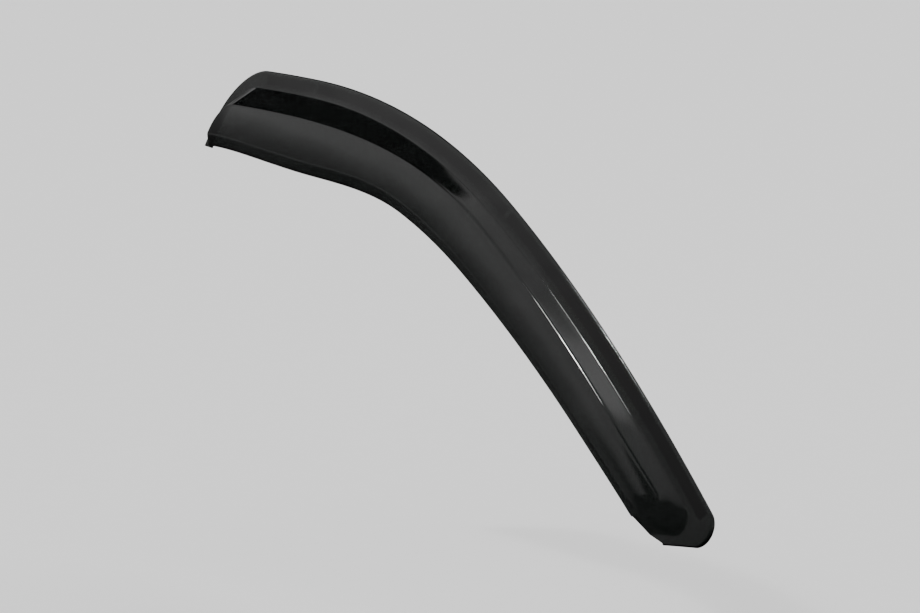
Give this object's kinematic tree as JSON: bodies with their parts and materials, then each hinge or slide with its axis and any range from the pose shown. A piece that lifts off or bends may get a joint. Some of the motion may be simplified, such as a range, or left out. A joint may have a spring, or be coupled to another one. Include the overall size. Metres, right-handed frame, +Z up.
{
  "type": "window rain deflector",
  "caption": "Stick-on smoked acrylic rain deflector for a car's front door window: long curved strip with a flat bonding flange, a raised face, a rounded rear end and a raked, pointed nose.",
  "frame": {"origin": "on the bonded side of the foam tape line, midway along the flange", "axes": "+X forward along the car, +Y towards the car's centre line, +Z up, as the strip sits on the right-hand front door"},
  "size_m": [0.9863, 0.1176, 0.3502],
  "materials": {
    "smoked_acrylic": "polished, dark smoke tint",
    "foam_tape": "matt closed-cell acrylic foam"
  },
  "bodies": {
    "root": {"visor": "smoked_acrylic", "pillar_tape": "foam_tape", "bend_tape": "foam_tape", "roof_tape": "foam_tape"}
  },
  "joints": []
}
